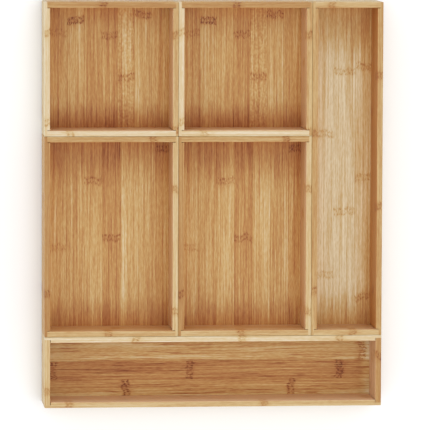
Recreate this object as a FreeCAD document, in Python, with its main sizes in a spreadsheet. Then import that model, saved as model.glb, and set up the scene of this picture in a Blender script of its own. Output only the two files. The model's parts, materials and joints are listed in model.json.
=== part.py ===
import FreeCAD, Part
import os
import Sketcher
from FreeCAD import Placement, Rotation, Vector

# A set of six open-topped bamboo boxes that fill a drawer edge to edge.
# Frame: +X right, +Y to the back, +Z up. The origin is under the middle of the set, on the surface it stands on.
# Each box is four rabbeted wall boards, a floor panel let into their bottom edge, and four round feet.

# Driving dimensions, in millimetres.
SIZES = {
    "small_side": 152.4,      # the square boxes, outside
    "medium_length": 228.6,   # the longer boxes, outside, front to back
    "narrow_width": 81.0,     # the two trays, outside, across
    "box_gap": 0.3,           # air between neighbouring boxes
    "wall_height": 62.0,
    "wall_thickness": 6.35,
    "rabbet_depth": 3.2,      # corner rabbets, and the seat of the floor panel
    "joint_gap": 0.6,         # a corner rabbet is this much wider than the board it holds
    "floor_thickness": 5.0,
    "edge_ease": 0.4,         # sanded edges
    "pad_radius": 5.0,
    "pad_height": 1.5,
    "pad_ease": 0.4,
    "pad_inset": 16.0,        # from a box's outer faces to a pad's centre
}

# Lengths that several pieces share, as expressions on the sheet.
SHEET = "Sizes"
SIDE_LENGTH = "(Sizes.small_side + Sizes.medium_length + Sizes.box_gap)"
TOTAL_WIDTH = "(2 * Sizes.small_side + Sizes.narrow_width + 2 * Sizes.box_gap)"
TOTAL_LENGTH = "(" + SIDE_LENGTH + " + Sizes.narrow_width + Sizes.box_gap)"
LEFT_EDGE = "(-" + TOTAL_WIDTH + " / 2)"
FRONT_EDGE = "(-" + TOTAL_LENGTH + " / 2)"
SECOND_COLUMN = "(" + LEFT_EDGE + " + Sizes.small_side + Sizes.box_gap)"
THIRD_COLUMN = "(" + SECOND_COLUMN + " + Sizes.small_side + Sizes.box_gap)"
SECOND_ROW = "(" + FRONT_EDGE + " + Sizes.narrow_width + Sizes.box_gap)"
THIRD_ROW = "(" + SECOND_ROW + " + Sizes.medium_length + Sizes.box_gap)"

# Each box: left edge, front edge, width along X, length along Y, and which pair of walls runs the full length.
BOXES = {
    "small_box_a": (LEFT_EDGE, THIRD_ROW, "Sizes.small_side", "Sizes.small_side", "sides"),
    "small_box_b": (SECOND_COLUMN, THIRD_ROW, "Sizes.small_side", "Sizes.small_side", "sides"),
    "medium_box_a": (LEFT_EDGE, SECOND_ROW, "Sizes.small_side", "Sizes.medium_length", "sides"),
    "medium_box_b": (SECOND_COLUMN, SECOND_ROW, "Sizes.small_side", "Sizes.medium_length", "sides"),
    "side_tray": (THIRD_COLUMN, SECOND_ROW, "Sizes.narrow_width", SIDE_LENGTH, "sides"),
    "front_tray": (LEFT_EDGE, FRONT_EDGE, TOTAL_WIDTH, "Sizes.narrow_width", "ends"),
}

# Each wall: its turn about Z, and the corner of the box that its own origin stands on.
WALLS = {
    "front_wall": (0, "left", "front"),
    "right_wall": (90, "right", "front"),
    "back_wall": (180, "right", "back"),
    "left_wall": (270, "left", "back"),
}

doc = FreeCAD.newDocument("BambooBoxes")
sheet = doc.addObject("Spreadsheet::Sheet", SHEET)
for row, (alias, value) in enumerate(SIZES.items(), start=1):
    sheet.set("A" + str(row), alias)
    sheet.set("B" + str(row), str(value))
    sheet.setAlias("B" + str(row), alias)
doc.recompute()


def size(alias):
    return SIZES[alias]


def origin_plane(body, role):
    for feature in body.Origin.OriginFeatures:
        if feature.Role == role:
            return feature
    raise ValueError("no origin plane " + role)


def new_sketch(body, name, role):
    sketch = body.newObject("Sketcher::SketchObject", name)
    sketch.AttachmentSupport = [(origin_plane(body, role), "")]
    sketch.MapMode = "FlatFace"
    return sketch


def draw_outline(sketch, points):
    """Closed outline of straight lines, each along the sketch's X or Y, joined end to end."""
    count = len(points)
    for index in range(count):
        start = points[index]
        end = points[(index + 1) % count]
        sketch.addGeometry(Part.LineSegment(Vector(start[0], start[1], 0), Vector(end[0], end[1], 0)), False)
    for index in range(count):
        sketch.addConstraint(Sketcher.Constraint("Coincident", index, 2, (index + 1) % count, 1))
        start = points[index]
        end = points[(index + 1) % count]
        direction = "Horizontal" if start[1] == end[1] else "Vertical"
        sketch.addConstraint(Sketcher.Constraint(direction, index))


def drive(sketch, kind, first, first_point, second, second_point, value, expression):
    """One dimension between two sketch points, bound to the sheet."""
    constraint = Sketcher.Constraint(kind, first, first_point, second, second_point, value)
    index = sketch.addConstraint(constraint)
    sketch.setExpression("Constraints[" + str(index) + "]", expression)


def pin_to_origin(sketch, geometry, point):
    sketch.addConstraint(Sketcher.Constraint("Coincident", geometry, point, -1, 1))


def full_board_outline(sketch, length, expression):
    """Plan of a wall that runs past the corners: a rabbet across the inside of each end."""
    thick = size("wall_thickness")
    depth = size("rabbet_depth")
    lip = thick - depth
    notch = thick + size("joint_gap")
    draw_outline(sketch, [
        (0, 0), (length, 0), (length, lip), (length - notch, lip),
        (length - notch, thick), (notch, thick), (notch, lip), (0, lip),
    ])
    pin_to_origin(sketch, 0, 1)
    drive(sketch, "DistanceX", 0, 1, 0, 2, length, expression)
    drive(sketch, "DistanceY", 1, 1, 1, 2, lip, "Sizes.wall_thickness - Sizes.rabbet_depth")
    drive(sketch, "DistanceX", 2, 2, 2, 1, notch, "Sizes.wall_thickness + Sizes.joint_gap")
    drive(sketch, "DistanceY", 3, 1, 3, 2, depth, "Sizes.rabbet_depth")
    drive(sketch, "DistanceX", 6, 2, 6, 1, notch, "Sizes.wall_thickness + Sizes.joint_gap")
    sketch.addConstraint(Sketcher.Constraint("Horizontal", 2, 1, 6, 1))


def plain_board_outline(sketch, length, expression):
    """Plan of a wall that is held between the full ones, in their rabbets."""
    thick = size("wall_thickness")
    draw_outline(sketch, [(0, 0), (length, 0), (length, thick), (0, thick)])
    pin_to_origin(sketch, 0, 1)
    drive(sketch, "DistanceX", 0, 1, 0, 2, length, expression)
    drive(sketch, "DistanceY", 1, 1, 1, 2, thick, "Sizes.wall_thickness")


def eased_edges(shape, length, full):
    """Names of the edges that a hand can touch: the top edges, the outer bottom edge and the box's corners."""
    thick = size("wall_thickness")
    height = size("wall_height")
    near = 0.01
    names = []
    for number, edge in enumerate(shape.Edges, start=1):
        box = edge.BoundBox
        outer = box.YMax < near
        inner = box.YMin > thick - near
        top = box.ZMin > height - near
        bottom = box.ZMax < near
        end = box.XMax < near or box.XMin > length - near
        along = box.XLength > length / 2
        long_edge = along and ((top and (outer or inner)) or (bottom and outer))
        corner = full and end and (top or (outer and box.ZLength > height / 2))
        if long_edge or corner:
            names.append("Edge" + str(number))
    return names


def wall(box, name, length, expression, full):
    """A board standing on its edge: length along X, inner face towards +Y, floor seat along its bottom inside."""
    body = doc.addObject("PartDesign::Body", box + "_" + name)
    body.Label = box + "_" + name
    outline = new_sketch(body, body.Name + "_plan", "XY_Plane")
    if full:
        full_board_outline(outline, length, expression)
    else:
        plain_board_outline(outline, length, expression)
    board = body.newObject("PartDesign::Pad", body.Name + "_board")
    board.Profile = outline
    board.setExpression("Length", "Sizes.wall_height")
    doc.recompute()
    whole = board.Shape.Volume

    seat = new_sketch(body, body.Name + "_seat", "XY_Plane")
    inset = size("wall_thickness") - size("rabbet_depth")
    depth = size("rabbet_depth")
    draw_outline(seat, [(0, inset), (length, inset), (length, inset + depth), (0, inset + depth)])
    seat.addConstraint(Sketcher.Constraint("PointOnObject", 0, 1, -2))
    drive(seat, "DistanceY", -1, 1, 0, 1, inset, "Sizes.wall_thickness - Sizes.rabbet_depth")
    drive(seat, "DistanceX", 0, 1, 0, 2, length, expression)
    drive(seat, "DistanceY", 1, 1, 1, 2, depth, "Sizes.rabbet_depth")
    rabbet = body.newObject("PartDesign::Pocket", body.Name + "_floor_rabbet")
    rabbet.Profile = seat
    rabbet.Reversed = True
    rabbet.setExpression("Length", "Sizes.floor_thickness")
    doc.recompute()
    if rabbet.Shape.Volume > whole - 1:
        raise ValueError(body.Label + ": the floor rabbet cuts nothing")

    ease = body.newObject("PartDesign::Fillet", body.Name + "_eased")
    ease.Base = (rabbet, eased_edges(rabbet.Shape, length, full))
    ease.setExpression("Radius", "Sizes.edge_ease")
    body.Tip = ease
    return body


def floor_panel(box, wide, deep):
    """The floor panel, let into the rabbets of all four walls."""
    panel = doc.addObject("Part::Box", box + "_floor")
    panel.Label = box + "_floor"
    inset = "2 * (Sizes.wall_thickness - Sizes.rabbet_depth)"
    panel.setExpression("Length", wide + " - " + inset)
    panel.setExpression("Width", deep + " - " + inset)
    panel.setExpression("Height", "Sizes.floor_thickness")
    return panel


def foot_pads(box, wide, deep):
    """Four round pads under the corners of the floor panel."""
    pads = []
    for side in ("left", "right"):
        for end in ("front", "back"):
            disc = doc.addObject("Part::Cylinder", box + "_disc_" + side + "_" + end)
            disc.setExpression("Radius", "Sizes.pad_radius")
            disc.setExpression("Height", "Sizes.pad_height")
            across = "Sizes.pad_inset" if side == "left" else wide + " - Sizes.pad_inset"
            along = "Sizes.pad_inset" if end == "front" else deep + " - Sizes.pad_inset"
            disc.setExpression("Placement.Base.x", across)
            disc.setExpression("Placement.Base.y", along)
            doc.recompute()
            rims = [
                number for number, edge in enumerate(disc.Shape.Edges, start=1)
                if edge.Closed and edge.BoundBox.ZMax < size("pad_height") / 2
            ]
            pad = doc.addObject("Part::Fillet", box + "_pad_" + side + "_" + end)
            pad.Base = disc
            pad.Edges = [(rim, size("pad_ease"), size("pad_ease")) for rim in rims]
            pads.append(pad)
    group = doc.addObject("Part::Compound", box + "_pads")
    group.Label = box + "_pads"
    group.Links = pads
    return group


def place(piece, x, y, z, turn=0):
    piece.Placement = Placement(Vector(0, 0, 0), Rotation(Vector(0, 0, 1), turn))
    piece.setExpression("Placement.Base.x", x)
    piece.setExpression("Placement.Base.y", y)
    piece.setExpression("Placement.Base.z", z)


def millimetres(expression):
    """The value of an expression on the sheet, for a sketch's first guess."""
    value = sheet.evalExpression(expression)
    return float(getattr(value, "Value", value))


def build_box(box, left, front, wide, deep, full_pair):
    """The six sub-parts of one box, each standing in its place in the set."""
    held_inset = "(Sizes.wall_thickness - Sizes.rabbet_depth)"
    pieces = []
    for name, (turn, side, end) in WALLS.items():
        across = name in ("front_wall", "back_wall")
        span = wide if across else deep
        full = across == (full_pair == "ends")
        inset = "0" if full else held_inset
        length = span if full else "(" + span + " - 2 * " + held_inset + ")"
        board = wall(box, name, millimetres(length), length, full)
        x = left if side == "left" else left + " + " + wide
        y = front if end == "front" else front + " + " + deep
        if across:
            x += (" + " if side == "left" else " - ") + inset
        else:
            y += (" + " if end == "front" else " - ") + inset
        place(board, x, y, "Sizes.pad_height", turn)
        pieces.append(board)
    panel = floor_panel(box, wide, deep)
    place(panel, left + " + " + held_inset, front + " + " + held_inset, "Sizes.pad_height")
    pads = foot_pads(box, wide, deep)
    place(pads, left, front, "0")
    return pieces + [panel, pads]


sub_parts = []
for box_name, box_spec in BOXES.items():
    sub_parts += build_box(box_name, *box_spec)
doc.recompute()

# Nothing is written unless every object and every shape is sound.
for item in doc.Objects:
    if "Invalid" in item.State or "Error" in item.State:
        raise RuntimeError(item.Label + " failed: " + str(item.State))
for part in sub_parts:
    if part.Shape.isNull() or not part.Shape.isValid():
        raise RuntimeError(part.Label + " has no valid shape")

os.makedirs("parts", exist_ok=True)
for part in sub_parts:
    part.Shape.exportStep("parts/" + part.Label + ".step")

whole = Part.makeCompound([part.Shape for part in sub_parts]).BoundBox
print(len(sub_parts), "sub-parts")
print("X", round(whole.XMin, 2), round(whole.XMax, 2))
print("Y", round(whole.YMin, 2), round(whole.YMax, 2))
print("Z", round(whole.ZMin, 2), round(whole.ZMax, 2))
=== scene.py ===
import json
import math

import bpy
import numpy as np
from mathutils import Matrix, Vector

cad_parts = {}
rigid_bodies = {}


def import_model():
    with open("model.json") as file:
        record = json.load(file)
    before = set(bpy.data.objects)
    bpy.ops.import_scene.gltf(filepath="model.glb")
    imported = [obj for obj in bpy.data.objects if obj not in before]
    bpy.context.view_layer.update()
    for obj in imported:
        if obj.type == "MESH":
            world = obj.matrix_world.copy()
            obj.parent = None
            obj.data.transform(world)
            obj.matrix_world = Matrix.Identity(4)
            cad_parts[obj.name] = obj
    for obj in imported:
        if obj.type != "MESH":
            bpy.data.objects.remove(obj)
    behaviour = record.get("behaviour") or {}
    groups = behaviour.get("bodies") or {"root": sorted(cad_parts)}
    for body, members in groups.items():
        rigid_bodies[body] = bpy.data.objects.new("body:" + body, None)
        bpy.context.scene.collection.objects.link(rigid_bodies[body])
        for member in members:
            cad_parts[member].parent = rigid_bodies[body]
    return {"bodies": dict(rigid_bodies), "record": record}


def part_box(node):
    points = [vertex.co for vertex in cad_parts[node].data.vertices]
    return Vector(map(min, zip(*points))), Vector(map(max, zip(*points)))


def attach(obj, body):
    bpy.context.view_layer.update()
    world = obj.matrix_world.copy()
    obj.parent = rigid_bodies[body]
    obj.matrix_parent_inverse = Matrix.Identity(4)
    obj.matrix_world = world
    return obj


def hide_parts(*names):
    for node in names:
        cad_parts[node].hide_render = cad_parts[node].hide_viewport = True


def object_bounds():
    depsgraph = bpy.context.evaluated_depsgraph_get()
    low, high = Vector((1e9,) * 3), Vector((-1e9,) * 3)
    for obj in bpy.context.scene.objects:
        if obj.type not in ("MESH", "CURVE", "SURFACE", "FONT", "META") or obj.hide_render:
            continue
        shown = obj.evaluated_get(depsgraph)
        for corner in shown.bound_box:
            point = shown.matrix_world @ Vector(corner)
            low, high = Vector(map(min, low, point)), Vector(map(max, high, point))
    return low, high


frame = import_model()
cadLow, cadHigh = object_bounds()
record = frame["record"]
bodyOf = {node: body for body, nodes in record["behaviour"]["bodies"].items() for node in nodes}
xAxis, yAxis, zAxis = 0, 1, 2


class Wire:  # one output of a shader node, so that shader maths reads as plain arithmetic
    def __init__(self, socket):
        self.socket = socket

    def node(self, kind, settings, inputs, output=0):
        tree = self.socket.id_data
        made = tree.nodes.new(kind)
        for name, value in settings.items():
            if name == "stops":
                setStops(made.color_ramp, value)
            elif name == "interpolation":
                made.color_ramp.interpolation = value
            else:
                setattr(made, name, value)
        for name, value in inputs.items():
            if isinstance(value, Wire):
                tree.links.new(value.socket, made.inputs[name])
            else:
                made.inputs[name].default_value = value
        return Wire(made.outputs[output])

    def maths(self, operation, *others):  # this value first, then the others
        return self.node("ShaderNodeMath", {"operation": operation}, dict(enumerate((self, *others))))

    def reflected(self, operation, other):  # the other value first
        return self.node("ShaderNodeMath", {"operation": operation}, {0: other, 1: self})

    def __add__(self, other):
        return self.maths("ADD", other)

    def __sub__(self, other):
        return self.maths("SUBTRACT", other)

    def __rsub__(self, other):
        return self.reflected("SUBTRACT", other)

    def __mul__(self, other):
        return self.maths("MULTIPLY", other)

    def __truediv__(self, other):
        return self.maths("DIVIDE", other)

    def __rtruediv__(self, other):
        return self.reflected("DIVIDE", other)

    def __abs__(self):
        return self.maths("ABSOLUTE")

    __radd__ = __add__
    __rmul__ = __mul__


def setStops(ramp, stops):
    while len(ramp.elements) > 1:
        ramp.elements.remove(ramp.elements[-1])
    ramp.elements[0].position = stops[0][0]
    ramp.elements[0].color = (*stops[0][1], 1)
    for position, colour in stops[1:]:
        ramp.elements.new(position).color = (*colour, 1)


def newMaterial(name):  # a Principled material and its shader
    material = bpy.data.materials.new(name)
    material.use_nodes = True
    return material, material.node_tree.nodes["Principled BSDF"]


def ownPlace(material):  # the piece's own coordinates, in metres
    return Wire(material.node_tree.nodes.new("ShaderNodeTexCoord").outputs["Object"])


def feed(shader, **wires):  # links signals to the shader's sockets, with _ for a space in a socket's name
    for name, wire in wires.items():
        wire.socket.id_data.links.new(wire.socket, shader.inputs[name.replace("_", " ")])


def axisOf(vector, number):
    return vector.node("ShaderNodeSeparateXYZ", {}, {"Vector": vector}, number)


def eased(wire, start, end):  # 0 at start, 1 at end, and smooth between
    return wire.node("ShaderNodeMapRange", {"interpolation_type": "SMOOTHSTEP"}, {
        "Value": wire, "From Min": start, "From Max": end})


def coloured(wire, stops, interpolation="LINEAR"):  # the colour that a value has on a ramp
    return wire.node("ShaderNodeValToRGB", {"interpolation": interpolation, "stops": stops}, {"Fac": wire})


def mixed(factor, first, second, blend="MIX"):
    return factor.node("ShaderNodeMix", {"data_type": "RGBA", "blend_type": blend}, {
        "Factor": factor, 6: first, 7: second}, 2)


def srgb(red, green, blue):  # 0 to 255 as a screen shows it, to the linear numbers that a shader takes
    parts = np.array((red, green, blue)) / 255
    return tuple(np.where(parts <= 0.04045, parts / 12.92, ((parts + 0.055) / 1.055) ** 2.4))


# Bamboo. A board is laid up from strips, each cut from another cane. Every strip has its own tone, fibres
# that run the whole length, short dark vessels, and here and there a knuckle: the band of ticks where the
# cane had a joint. Tones run from 0, scorched, to 1, palest.
bamboo = {
    # partly the broad side's own colour, partly painted light: lighter than the edge ramp for floors and
    # inner faces, which get less light than wall tops
    "face": [  # the broad side of the strips
        (0.00, srgb(112, 54, 12)),
        (0.15, srgb(141, 80, 36)),
        (0.30, srgb(164, 109, 61)),
        (0.42, srgb(175, 126, 73)),
        (0.52, srgb(185, 143, 86)),
        (0.66, srgb(198, 167, 112)),
        (0.80, srgb(207, 188, 148)),
        (1.00, srgb(225, 215, 186)),
    ],
    "edge": [  # their thin side, along the top of a wall
        (0.00, srgb(104, 48, 20)),
        (0.15, srgb(132, 76, 36)),
        (0.30, srgb(154, 105, 57)),
        (0.50, srgb(173, 134, 84)),
        (0.66, srgb(189, 161, 114)),
        (0.80, srgb(199, 177, 139)),
        (1.00, srgb(213, 202, 182)),
    ],
    "strength": {"slow": 0.24, "streak": 0.40, "fibre": 0.48, "hair": 0.42, "speckle": 0.28},
    "drift": 0.9,                # mm that the fibres wander to each side
    "caneStep": 7.31,            # how far the patterns are shifted from strip to strip
    "vessels": 0.08,             # how much darker they are
    "vesselRange": (0.62, 0.74),  # the values of their pattern at which they start and are full
    "glueLine": 0.10,            # how much darker it is
    "glueReach": (0.5, 0.1),     # mm from it where that starts and is full
    "paintedInnerShadeTint": (1.08, 0.84, 0.74, 1),  # painted warm shade: the inner faces of the walls are drawn a little redder, as in their own shade
    "paintedRimShadeTint": (1.05, 0.93, 0.80, 1),     # painted warm shade on a floor panel near its edges, where the walls shade it and throw light back
    "paintedRimShadeReach": 26.0,                     # mm
    "skin": (0.42, 0.12),        # mm under a wall's face where its colour starts and is full
    "upperSide": (1.0, 3.0),     # mm up through a floor panel, between which its painted edge shading and painted warm shade set in
    "stainBorder": (1.0, 0.25),  # shares of the painted edge shading's reach where it starts and is full
    "raggedAcross": 0.96,        # how ragged that border is where it runs across the grain, and along it
    "raggedAlong": 0.24,
    "tickRelief": 0.5,           # how deep knuckle ticks and vessels lie beside the fibres
    "vesselRelief": 0.3,
    "roughness": 0.45,
    "roughnessSwing": 0.25,
    "specular": 0.14,
    "bumpStrength": 0.3,
    "bumpDistance": 0.0002,      # metres
}
knuckle = {
    "depth": 0.38,            # how much darker its ticks are
    "scorch": 0.16,           # the wood round them, as a share of that
    "glint": 0.20,            # the pale flecks among them, the same
    "bend": 8.0,              # mm
    "band": (6.0, 2.5),       # mm from the middle line where each part starts and is full
    "row": (2.4, 0.5),
    "halo": (13.0, 1.0),
    "rowPlace": 2.6,          # mm from the middle line to each of the two rows of ticks
    "bandShare": 0.45,        # how strongly the ticks show in the band and in its rows
    "rowShare": 0.75,
    "tickRange": (0.43, 0.62),
    "glintRange": (0.54, 0.68),
}
# Patterns, all of them noise drawn out along the fibres: length and width of a mark in mm, finer octaves, and
# where along the noise the pattern starts.
patterns = {
    "slow": (160, 14, 1, 0),      # broad shading
    "streak": (190, 2.3, 1, 13),
    "fibre": (70, 1.1, 1, 26),
    "hair": (6, 0.6, 1, 39),
    "wander": (140, 18, 0, 0),    # the way the fibres drift
    "vessels": (26, 1.5, 0, 71),
    "speckle": (2.8, 1.9, 0, 91),
    "border": (50, 3.0, 1, 83),   # the ragged border of the painted edge shading
    "bend": (400, 6.0, 0, 31),    # of a knuckle's middle line
    "ticks": (3.4, 1.0, 1, 57),
    "glints": (3.0, 1.0, 0, 63),
}


class Grain:  # where a point lies in its board: along and across the strips and through them, in mm
    def __init__(self, place, look):
        scale, shift = [0, 0, 0], [0, 0, 0]
        for axis, start, sense in (look["along"], look["across"], look["through"]):
            scale[axis] = 1000 * sense
            shift[axis] = -1000 * sense * start
        settings = {"operation": "MULTIPLY_ADD"}
        point = place.node("ShaderNodeVectorMath", settings, {0: place, 1: scale, 2: shift})
        self.along, self.across, self.through = (
            axisOf(point, look[name][0]) for name in ("along", "across", "through"))
        width = look["stripWidth"]
        strips = (self.across - look["stripStart"]) / width
        strip = strips.maths("FLOOR")
        self.seam = (0.5 - abs(strips - strip - 0.5)) * width  # mm to the nearest glue line
        self.strip = strip.maths("MAXIMUM", 0).maths("MINIMUM", look["strips"] - 1)
        self.cane = self.strip * bamboo["caneStep"] + look["seed"]  # so that no mark crosses a glue line
        drift = 2 * bamboo["drift"] * look["waviness"]
        self.across = self.across + (self.pattern("wander") - 0.5) * drift

    def pattern(self, name):
        length, width, octaves, start = patterns[name]
        along = self.along / length + self.cane + start
        vector = along.node("ShaderNodeCombineXYZ", {}, {
            "X": along, "Y": self.across / width, "Z": self.through / width})
        return vector.node("ShaderNodeTexNoise", {}, {
            "Vector": vector, "Scale": 1.0, "Detail": octaves, "Roughness": 0.5})

    def only(self, strip):  # 1 on that strip and 0 on the others
        return self.strip.maths("COMPARE", strip, 0.1)


def knuckleMarks(grain, places):  # each knuckle: a scorched band with two rows of short dark ticks in it
    bend = (grain.pattern("bend") - 0.5) * knuckle["bend"]
    ticked, scorched = 0, 0
    for strip, place, strength in places:
        own = grain.only(strip) * strength
        away = abs(grain.along - place + bend)
        band = eased(away, *knuckle["band"]) * own
        rows = eased(abs(away - knuckle["rowPlace"]), *knuckle["row"]) * own
        halo = eased(away, *knuckle["halo"]) * own
        ticked = ticked + band * knuckle["bandShare"] + rows * knuckle["rowShare"]
        scorched = scorched + band + halo
    ticks = eased(grain.pattern("ticks"), *knuckle["tickRange"])
    glints = eased(grain.pattern("glints"), *knuckle["glintRange"])
    return ticked * ticks, scorched, scorched * glints


def stains(grain, look):  # painted shade near a panel's edges, where the walls shade it, and painted light where a depth is negative
    total = 0
    border = grain.pattern("border") - 0.5
    for side, reach, depth in look["stains"]:
        distance = {
            "back": grain.along, "front": look["length"] - grain.along,
            "left": grain.across, "right": look["width"] - grain.across,
        }[side]
        ragged = bamboo["raggedAcross" if side in ("back", "front") else "raggedAlong"]
        total = total + eased(distance / reach + border * ragged, *bamboo["stainBorder"]) * depth
    return total


def wallColour(grain, shade, look):
    # the faces show the strips' broad side, the top edge and the ends their thin one
    middle = look["thickness"] / 2
    start, full = bamboo["skin"]
    skin = eased(abs(grain.through - middle), middle - start, middle - full)
    inside = skin * eased(grain.through, middle - 1, middle + 1)
    # the inner face takes its own tone, painted light or painted shade for how much light reaches it, then a
    # painted warm shade tint
    face = coloured(shade + inside * look["inside"], bamboo["face"])
    face = mixed(inside, face, bamboo["paintedInnerShadeTint"], "MULTIPLY")
    return mixed(skin, coloured(shade, bamboo["edge"]), face)


def panelColour(grain, shade, look):
    # a floor panel gets painted edge shading and, near its edges, a redder painted warm shade, on its upper
    # side only
    upperSide = eased(grain.through, *bamboo["upperSide"])
    # painted shade near the walls (painted light where negative) is taken off the tone here
    face = coloured(shade - stains(grain, look) * upperSide, bamboo["face"])
    toSide = grain.across.maths("MINIMUM", look["width"] - grain.across)
    toEnd = grain.along.maths("MINIMUM", look["length"] - grain.along)
    # painted warm shade: redder towards the panel's edges, as a floor looks in the walls' shade
    rim = eased(toSide.maths("MINIMUM", toEnd), bamboo["paintedRimShadeReach"], 0) * upperSide * look["rim"]
    return mixed(rim, face, bamboo["paintedRimShadeTint"], "MULTIPLY")


def bambooMaterial(name, look, colourOf):
    material, shader = newMaterial(name)
    grain = Grain(ownPlace(material), look)
    count = look["strips"]
    tones = [(number / count, (tone,) * 3) for number, tone in enumerate(look["tones"])]
    shade = coloured((grain.strip + 0.5) / count, tones, "CONSTANT")
    relief = 0
    for kind in ("slow", "streak", "fibre", "hair"):
        marks = (grain.pattern(kind) - 0.5) * (bamboo["strength"][kind] * look["contrast"])
        shade = shade + marks
        if kind in ("fibre", "hair"):
            relief = relief + marks
    vessels = eased(grain.pattern("vessels"), *bamboo["vesselRange"])
    ticks, scorch, glints = knuckleMarks(grain, look["knuckles"])
    depth = knuckle["depth"]
    shade = shade - vessels * look["vessels"]
    shade = shade - ticks * depth - scorch * (depth * look["scorch"]) + glints * (depth * knuckle["glint"])
    shade = shade - eased(grain.seam, *bamboo["glueReach"]) * bamboo["glueLine"]
    if "speckled" in look:
        speckle = (grain.pattern("speckle") - 0.5) * grain.only(look["speckled"])
        shade = shade + speckle * bamboo["strength"]["speckle"]
    relief = relief - ticks * bamboo["tickRelief"] - vessels * bamboo["vesselRelief"]
    bump = relief.node("ShaderNodeBump", {}, {
        "Height": relief, "Strength": bamboo["bumpStrength"], "Distance": bamboo["bumpDistance"]})
    roughness = relief * bamboo["roughnessSwing"] + bamboo["roughness"]
    feed(shader, Base_Color=colourOf(grain, shade, look), Roughness=roughness, Normal=bump)
    shader.inputs["Specular IOR Level"].default_value = bamboo["specular"]
    return material


sharpAngle = 28  # degrees between two faces, past which the edge between them stays crisp


def joinUp(name, points, faces, material, node):
    # one closed piece that stands for a CAD node: flat faces crisp, rounded ones smooth, normals outwards.
    # The sum of p0 . (p1 x p2) over its triangles is six times its volume, and negative if it is inside out.
    used = np.unique(np.concatenate([np.ravel(face) for face in faces]))
    renumber = np.zeros(len(points), int)
    renumber[used] = np.arange(len(used))
    mesh = bpy.data.meshes.new(name)
    mesh.from_pydata(points[used].tolist(), [], [renumber[np.array(face)].tolist() for face in faces])
    corners = [points[np.array(face)] for face in faces]
    volume = sum(np.sum(np.cross(corner[1:-1], corner[2:]) @ corner[0]) for corner in corners)
    if volume < 0:
        mesh.flip_normals()
    mesh.shade_smooth()
    mesh.set_sharp_from_angle(angle=math.radians(sharpAngle))
    mesh.materials.append(material)
    piece = bpy.data.objects.new(name, mesh)
    bpy.context.scene.collection.objects.link(piece)
    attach(piece, bodyOf[node])
    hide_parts(node)


def bandFaces(rows, columns, count):  # quads between neighbouring rows of a grid, for the given columns
    first = (np.array(rows)[:, None] * count + np.array(columns)[None, :-1]).ravel()
    second = (np.array(rows)[:, None] * count + np.array(columns)[None, 1:]).ravel()
    return list(np.stack([first, second, second + count, first + count], axis=1))


def roundedCorner(centre, radius, start):  # points and outward directions of a quarter circle
    angle = np.radians(start - np.linspace(0, 90, board["arcPoints"]))
    out = np.stack([np.cos(angle), np.sin(angle)], axis=1)
    return np.array(centre) + radius * out, out


# A wall board: its section, an L with eased edges, carried along the board. At the corners of a box the two
# full boards are cut back to a lip, and there the section is only the outer part of the L.
board = {  # mm
    "strip": 20.7,      # width of the strips that it is laid up from
    "ease": 0.4,        # radius of the sanded edges
    "endEase": 0.32,    # radius at the ends that show
    "endFlat": 1.5,     # from such an end to a first full section
    "arcPoints": 5,     # in the arc of an eased edge
    "jointGap": 0.6,    # from the shoulder to the board in the corner
    "seamDepth": 0.07,  # glue lines between strips
    "seamHalf": 0.12,
}


def boardSection(thick, high, lip, seat):
    # the outline as (through, up) in mm, from the inner bottom edge of the lip round the outside to the top,
    # then down the inside to the floor's seat; the second array is the way each point moves at an eased end
    ease, half, deep = board["ease"], board["seamHalf"], board["seamDepth"]
    seams = np.array([board["strip"], 2 * board["strip"]])
    notch = (seams[:, None] + np.array([-half, 0, half])).ravel()
    dip = np.tile([0, deep, 0], len(seams))
    bottom, bottomOut = roundedCorner((ease, ease), ease, 270)
    top, topOut = roundedCorner((ease, high - ease), ease, 180)
    inner, innerOut = roundedCorner((thick - ease, high - ease), ease, 90)
    outerFace = np.stack([dip, notch], axis=1)
    innerFace = np.stack([thick - dip, notch], axis=1)[::-1]
    outside = np.vstack([
        [[lip, 0], [2 * ease, 0]], bottom, [[0, 2 * ease]], outerFace,
        [[0, high - 2 * ease]], top, [[2 * ease, high], [lip, high]]])
    outsideOut = np.vstack([
        [[0, -1], [0, -1]], bottomOut, [[-1, 0]], np.tile([-1, 0], (len(dip), 1)),
        [[-1, 0]], topOut, [[0, 1], [0, 1]]])
    inside = np.vstack([
        [[thick - 2 * ease, high]], inner, [[thick, high - 2 * ease]], innerFace,
        [[thick, seat], [lip, seat]]])
    insideOut = np.vstack([[[0, 1]], innerOut, np.tile([0, 0], (len(inside) - len(inner) - 1, 1))])
    return np.vstack([outside, inside]), np.vstack([outsideOut, insideOut]), len(outside)


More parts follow.
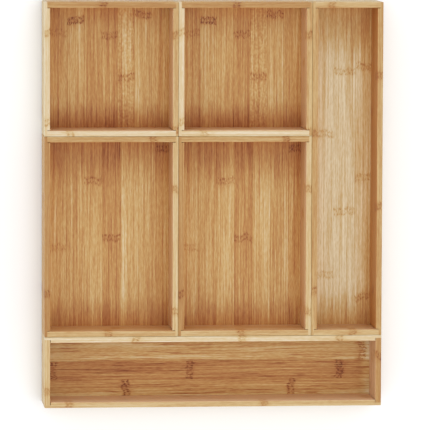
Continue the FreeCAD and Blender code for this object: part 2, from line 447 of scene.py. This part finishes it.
def makeBoard(node, side, full, lip, seat, material):
    # the section at stations along the board, drawn in by r (1 - sin a) at r (1 - cos a) from an eased end
    low, high = (np.array(corner) * 1000 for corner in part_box(node))
    size = high - low
    length, thick = (size[0], size[1]) if side in ("front", "back") else (size[1], size[0])
    section, out, outer = boardSection(thick, size[2], lip, seat)
    count = len(section)
    if full:
        turn = np.radians(np.linspace(0, 90, board["arcPoints"]))
        shoulder = thick + board["jointGap"]
        start = np.append(board["endEase"] * (1 - np.cos(turn)), [board["endFlat"], shoulder])
        drawn = np.append(board["endEase"] * (1 - np.sin(turn)), [0, 0])
        stations = np.concatenate([start, length - start[::-1]])
        pull = np.concatenate([drawn, drawn[::-1]])
        first, last = len(start) - 1, len(start)  # the shoulders, between which the section is the whole L
    else:
        stations, pull = np.array([0.0, length]), np.zeros(2)
        first, last = 0, 1
    flat = section[None] - out[None] * pull[:, None, None]
    along = np.broadcast_to(stations[:, None], flat.shape[:2])
    rows = np.arange(len(stations) - 1)
    lipColumns = np.arange(outer)
    hookColumns = np.arange(outer - 1, count)
    footColumns = np.array([count - 1, 0])
    faces = bandFaces(rows, lipColumns, count) + bandFaces(rows, footColumns, count)
    faces += bandFaces([first], hookColumns, count)
    endLoop = np.arange(count)
    if full:
        endLoop = np.append(lipColumns, count - 1)
        faces += bandFaces(np.delete(rows, first), np.array([outer - 1, count - 1]), count)
        faces += [first * count + hookColumns, last * count + hookColumns[::-1]]
    faces += [endLoop, ((len(stations) - 1) * count + endLoop)[::-1]]
    if side == "front":
        points = np.stack([low[0] + along, low[1] + flat[..., 0], low[2] + flat[..., 1]], axis=2)
    elif side == "back":
        points = np.stack([high[0] - along, high[1] - flat[..., 0], low[2] + flat[..., 1]], axis=2)
    elif side == "right":
        points = np.stack([high[0] - flat[..., 0], low[1] + along, low[2] + flat[..., 1]], axis=2)
    else:
        points = np.stack([low[0] + flat[..., 0], high[1] - along, low[2] + flat[..., 1]], axis=2)
    joinUp(node + "_board", points.reshape(-1, 3) / 1000, faces, material, node)


# The walls: tone of the top strip, tone of the inner face (painted light or painted shade for how much light
# reaches it), and the top strip's knuckles, in mm from the left end of a board, or from its back end.
walls = {
    "small_box": {
        "left": {"tone": 0.91, "inside": 0.72, "knuckles": [34, 136]},
        "right": {"tone": 0.72, "inside": 0.88, "knuckles": [38, 147]},
        "front": {"tone": 0.91, "inside": 0.98, "knuckles": [25]},
        "back": {"tone": 0.56, "inside": 0.70, "knuckles": [62]},
    },
    "medium_box": {
        "left": {"tone": 0.52, "inside": 0.66, "knuckles": [180]},
        "right": {"tone": 0.80, "inside": 0.86, "knuckles": [60, 200]},
        "front": {"tone": 0.70, "inside": 0.76, "knuckles": [70]},
        "back": {"tone": 0.63, "inside": 0.66, "knuckles": [120]},
    },
    "side_tray": {
        "left": {"tone": 0.66, "inside": 0.72, "knuckles": [150, 330]},
        "right": {"tone": 0.64, "inside": 0.54, "knuckles": [84, 235]},
        "front": {"tone": 0.73, "inside": 0.86, "knuckles": [45]},
        "back": {"tone": 0.75, "inside": 0.80, "knuckles": [20]},
    },
    "front_tray": {
        "left": {"tone": 0.78, "inside": 0.74, "knuckles": [60]},
        "right": {"tone": 0.55, "inside": 0.90, "knuckles": [20]},
        "front": {"tone": 0.74, "inside": 0.96, "knuckles": [28, 250]},
        "back": {"tone": 0.92, "inside": 0.70, "knuckles": [104, 226, 338]},
    },
}
wallGrain = {
    "topKnuckle": 0.55,            # strength
    "lowerKnuckles": [0.45, 0.5],  # strength, in the two strips under the top one
    "lowerPlaces": [0.21, 0.75],   # where they start from, as shares of a wall's length
    "step": 0.618,                 # how far they move on from each wall to the next, so that none line up
    "lowerTones": [0.33, 0.29],    # added to a share of the top strip's tone
    "lowerShare": 0.5,
    "waviness": 0.4,
    "contrast": 0.65,
    "scorch": 0.26,
    "seedStep": 3.7,
}


def boxKind(box):
    return next(kind for kind in walls if box.startswith(kind))


def makeWall(box, side, number):
    own = walls[boxKind(box)][side]
    node = box + "_" + side + "_wall"
    low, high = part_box(node)
    floorLow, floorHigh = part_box(box + "_floor")
    lengthwise, through = (xAxis, yAxis) if side in ("front", "back") else (yAxis, xAxis)
    reach = 1000 * (high - low)[lengthwise]
    held = 1000 * (floorHigh - floorLow)[lengthwise]  # a held board is as long as the floor panel
    full = reach > held + 1
    lip = 1000 * {
        "left": floorLow.x - low.x, "right": high.x - floorHigh.x,
        "front": floorLow.y - low.y, "back": high.y - floorHigh.y,
    }[side]
    knuckles = [(2, place, wallGrain["topKnuckle"]) for place in own["knuckles"]]
    for strip, strength in enumerate(wallGrain["lowerKnuckles"]):
        place = (wallGrain["lowerPlaces"][strip] + wallGrain["step"] * number) % 1
        knuckles.append((strip, reach * place, strength))
    tones = [own["tone"] * wallGrain["lowerShare"] + tone for tone in wallGrain["lowerTones"]] + [own["tone"]]
    outer, inward = (low, 1) if side in ("left", "front") else (high, -1)
    look = {
        "along": (xAxis, low.x, 1) if lengthwise == xAxis else (yAxis, high.y, -1),
        "across": (zAxis, low.z, 1),
        "through": (through, outer[through], inward),
        "strips": 3, "stripStart": 0, "stripWidth": board["strip"], "tones": tones,
        "knuckles": knuckles, "seed": wallGrain["seedStep"] * number,
        "thickness": 1000 * (high - low)[through], "inside": own["inside"] - own["tone"],
        "waviness": wallGrain["waviness"], "contrast": wallGrain["contrast"],
        "vessels": bamboo["vessels"], "scorch": wallGrain["scorch"],
    }
    material = bambooMaterial(node + "_bamboo", look, wallColour)
    makeBoard(node, side, full, lip, 1000 * (floorHigh.z - low.z), material)


wallPlaces = [(box, side) for box in frame["bodies"] for side in walls[boxKind(box)]]
for number, (box, side) in enumerate(wallPlaces, start=1):
    makeWall(box, side, number)
print("walls made")


# The floors: strips counted from the left and their length from the back, or in the front tray from the back
# and from the left. Knuckles are (strip, mm along, strength), painted edge shading (side, mm of reach, depth:
# painted shade, or painted light where negative).
floors = {
    "small_box": {
        "strips": 9, "stripWidth": 19.3, "stripStart": -12.8,
        "tones": [0.56, 0.52, 0.59, 0.50, 0.46, 0.57, 0.59, 0.56, 0.52],
        "knuckles": [(1, 34, 0.35), (2, 20, 1.15), (4, 37, 0.55), (5, 85, 0.6), (6, 13, 0.8)],
        "speckled": 5,
        "stains": [("front", 36, 0.22), ("back", 36, 0.07)],
    },
    "medium_box": {
        "strips": 8, "stripWidth": 20.8, "stripStart": -16.9,
        "tones": [0.54, 0.57, 0.54, 0.60, 0.47, 0.62, 0.59, 0.54],
        "knuckles": [(1, 128, 0.35), (3, 52, 0.6), (4, 118, 0.6), (7, 15, 0.6)],
        "stains": [("back", 64, 0.19), ("front", 42, 0.17)],
    },
    "side_tray": {
        "strips": 3, "stripWidth": 25.0, "stripStart": 3.4,
        "tones": [0.88, 0.86, 0.87],
        "knuckles": [
            (0, 152, 0.5), (0, 314, 0.4), (1, 79, 0.5), (1, 241, 0.5),
            (2, 73, 0.6), (2, 202, 0.5), (2, 341, 0.6)],
        "stains": [("back", 80, 0.28), ("front", 50, 0.25), ("right", 26, 0.15)],
    },
    "front_tray": {
        "strips": 4, "stripWidth": 21.5, "stripStart": -11.6,
        "tones": [0.60, 0.61, 0.39, 0.47],
        "knuckles": [(1, 368, 0.8), (2, 9, 0.8), (2, 168, 0.7), (2, 342, 1.1), (3, 93, 1.2), (3, 285, 0.8)],
        "waviness": 2.5, "vessels": 0.2, "rim": 0.15,
        "stains": [("right", 10, -0.10), ("back", 24, -0.06), ("front", 16, -0.22)],
    },
}
# A floor panel: its section across the strips, with a fine groove at each glue line, carried along the grain.
panel = {
    "seamDepth": 0.10,  # mm
    "seamHalf": 0.16,
    "seamMargin": 2,    # no groove nearer than this to the panel's sides
    "seed": 41.0,
    "seedStep": 11.3,
}


def makeFloor(box, number):
    node = box + "_floor"
    low, high = (np.array(corner) * 1000 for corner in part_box(node))
    size = high - low
    own = floors[boxKind(box)]
    lengthwise, crosswise = (xAxis, yAxis) if size[0] > 2 * size[1] else (yAxis, xAxis)
    length, width = size[lengthwise], size[crosswise]
    look = {"waviness": 1, "contrast": 1, "vessels": bamboo["vessels"], "scorch": knuckle["scorch"], "rim": 1}
    look.update(own, seed=panel["seed"] + panel["seedStep"] * number, length=length, width=width)
    look["through"] = (zAxis, low[2] / 1000, 1)
    if lengthwise == xAxis:
        look.update(along=(xAxis, low[0] / 1000, 1), across=(yAxis, high[1] / 1000, -1))
    else:
        look.update(along=(yAxis, high[1] / 1000, -1), across=(xAxis, low[0] / 1000, 1))
    material = bambooMaterial(node + "_bamboo", look, panelColour)
    seams = own["stripStart"] + own["stripWidth"] * np.arange(1, own["strips"])
    seams = seams[(seams > panel["seamMargin"]) & (seams < width - panel["seamMargin"])]
    across = (seams[:, None] + panel["seamHalf"] * np.array([-1, 0, 1])).ravel()
    dip = np.tile([0, panel["seamDepth"], 0], len(seams))
    top = np.stack([across, size[2] - dip], axis=1)
    bottom = np.stack([across, dip], axis=1)[::-1]
    section = np.vstack([[[0, 0], [0, size[2]]], top, [[width, size[2]], [width, 0]], bottom])
    count = len(section)
    along = np.repeat([0.0, length], count).reshape(2, -1)
    flat = np.broadcast_to(section, (2, *section.shape))
    if lengthwise == xAxis:
        points = np.stack([low[0] + along, high[1] - flat[..., 0], low[2] + flat[..., 1]], axis=2)
    else:
        points = np.stack([low[0] + flat[..., 0], high[1] - along, low[2] + flat[..., 1]], axis=2)
    loop = np.arange(count)
    faces = bandFaces([0], np.append(loop, 0), count) + [loop, (loop + count)[::-1]]
    joinUp(node + "_panel", points.reshape(-1, 3) / 1000, faces, material, node)


for number, box in enumerate(frame["bodies"]):
    makeFloor(box, number)
print("floors made")


# A foot: a disc turned round its axis, its underside z = h (1 - (1 - (r / R)^n)^(1/n)), flat in the middle.
foot = {
    "radius": 0.005,  # metres, R
    "power": 6,       # n
    "segments": 48,
    "rings": 14,
    "tones": [(0.3, srgb(214, 214, 208)), (0.7, srgb(228, 228, 223))],
    "cloudScale": 400.0,
    "cloudOctaves": 3.0,
    "roughness": 0.35,
    "roughnessSwing": 0.2,
    "subsurface": 0.2,
    "subsurfaceScale": 0.002,
}


def siliconeMaterial():
    material, shader = newMaterial("silicone")
    place = ownPlace(material)
    clouds = place.node("ShaderNodeTexNoise", {}, {
        "Vector": place, "Scale": foot["cloudScale"], "Detail": foot["cloudOctaves"]})
    roughness = clouds * foot["roughnessSwing"] + foot["roughness"]
    feed(shader, Base_Color=coloured(clouds, foot["tones"]), Roughness=roughness)
    shader.inputs["Subsurface Weight"].default_value = foot["subsurface"]
    shader.inputs["Subsurface Scale"].default_value = foot["subsurfaceScale"]
    return material


def makePads(box, material):
    node = box + "_pads"
    low, high = (np.array(corner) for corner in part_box(node))
    radius, segments, rings = foot["radius"], foot["segments"], foot["rings"]
    part = np.sin(np.linspace(0, np.pi / 2, rings + 1))[1:]  # r / R of each ring
    up = (high[2] - low[2]) * (1 - (1 - part ** foot["power"]) ** (1 / foot["power"]))
    turn = np.linspace(0, 2 * np.pi, segments, endpoint=False)
    ring = np.stack([np.cos(turn), np.sin(turn)], axis=1) * radius
    columns = np.append(np.arange(segments), 0)
    lastRing = (rings - 1) * segments
    lowMiddle = rings * segments
    sides = [face[::-1] for face in bandFaces(np.arange(rings - 1), columns, segments)]
    under = np.stack([columns[1:], columns[:-1], np.full(segments, lowMiddle)], axis=1)
    over = np.stack([
        lastRing + columns[:-1], lastRing + columns[1:], np.full(segments, lowMiddle + 1)], axis=1)
    points, faces = [], []
    corners = low + radius, high - radius
    for x, y in [(across[0], along[1]) for across in corners for along in corners]:
        base = sum(len(block) for block in points)
        wall = np.dstack([
            x + part[:, None] * ring[None, :, 0], y + part[:, None] * ring[None, :, 1],
            np.broadcast_to(low[2] + up[:, None], (rings, segments))]).reshape(-1, 3)
        points.append(np.vstack([wall, [[x, y, low[2]], [x, y, high[2]]]]))
        faces += [face + base for face in sides] + list(under + base) + list(over + base)
    joinUp(node + "_feet", np.vstack(points), faces, material, node)


silicone = siliconeMaterial()
for box in frame["bodies"]:
    makePads(box, silicone)
print("feet made")


stage = {"floorSize": 8.0, "floorTone": (0.90, 0.905, 0.915), "floorRoughness": 0.9}
light = {"worldStrength": 1.0, "keyPower": 27.0, "keyPlace": (0.1, -0.1, 3.0), "keySize": (1.5, 1.5)}
camera = {
    "distance": 5.0, "leanLeft": 5.3, "leanBack": 4.9, "roll": 0.2,  # metres and degrees
    "frameWidth": 0.4933, "aimX": 0.0041, "aimY": -0.0139,           # metres
    "sensor": 36.0, "farClip": 100.0,                                # mm and metres
}


def makeStage():
    half = stage["floorSize"] / 2
    corners = [(-half, -half, 0), (half, -half, 0), (half, half, 0), (-half, half, 0)]
    mesh = bpy.data.meshes.new("stageFloor")
    mesh.from_pydata(corners, [], [(0, 1, 2, 3)])
    floor = bpy.data.objects.new("stageFloor", mesh)
    bpy.context.scene.collection.objects.link(floor)
    material, shader = newMaterial("stagePaper")
    shader.inputs["Base Color"].default_value = (*stage["floorTone"], 1)
    shader.inputs["Roughness"].default_value = stage["floorRoughness"]
    mesh.materials.append(material)


def makeLights():
    world = bpy.data.worlds.new("studio")
    world.use_nodes = True
    background = world.node_tree.nodes["Background"]
    background.inputs["Color"].default_value = (1, 1, 1, 1)
    background.inputs["Strength"].default_value = light["worldStrength"]
    bpy.context.scene.world = world
    key = bpy.data.lights.new("key", "AREA")
    key.shape = "RECTANGLE"
    key.size, key.size_y = light["keySize"]
    key.energy = light["keyPower"]
    lamp = bpy.data.objects.new("key", key)
    lamp.location = light["keyPlace"]
    lamp.rotation_euler = Vector(light["keyPlace"]).to_track_quat("Z", "Y").to_euler()
    bpy.context.scene.collection.objects.link(lamp)


def makeCamera():
    lens = bpy.data.cameras.new("camera")
    lens.sensor_width = camera["sensor"]
    lens.lens = camera["sensor"] * camera["distance"] / camera["frameWidth"]
    lens.clip_end = camera["farClip"]
    eye = bpy.data.objects.new("camera", lens)
    bpy.context.scene.collection.objects.link(eye)
    leanLeft, leanBack = math.radians(camera["leanLeft"]), math.radians(camera["leanBack"])
    back = Vector((-math.tan(leanLeft), math.tan(leanBack), 1)).normalized()
    right = Vector((0, 1, 0)).cross(back).normalized()
    turn = Matrix((right, back.cross(right), back)).transposed().to_4x4()
    turn = turn @ Matrix.Rotation(math.radians(camera["roll"]), 4, "Z")
    middle = (cadLow + cadHigh) / 2 + Vector((camera["aimX"], camera["aimY"], 0))
    eye.matrix_world = Matrix.Translation(middle + back * camera["distance"]) @ turn
    bpy.context.scene.camera = eye


makeStage()
makeLights()
makeCamera()
bpy.context.scene.view_settings.view_transform = "Standard"
print("stage ready")
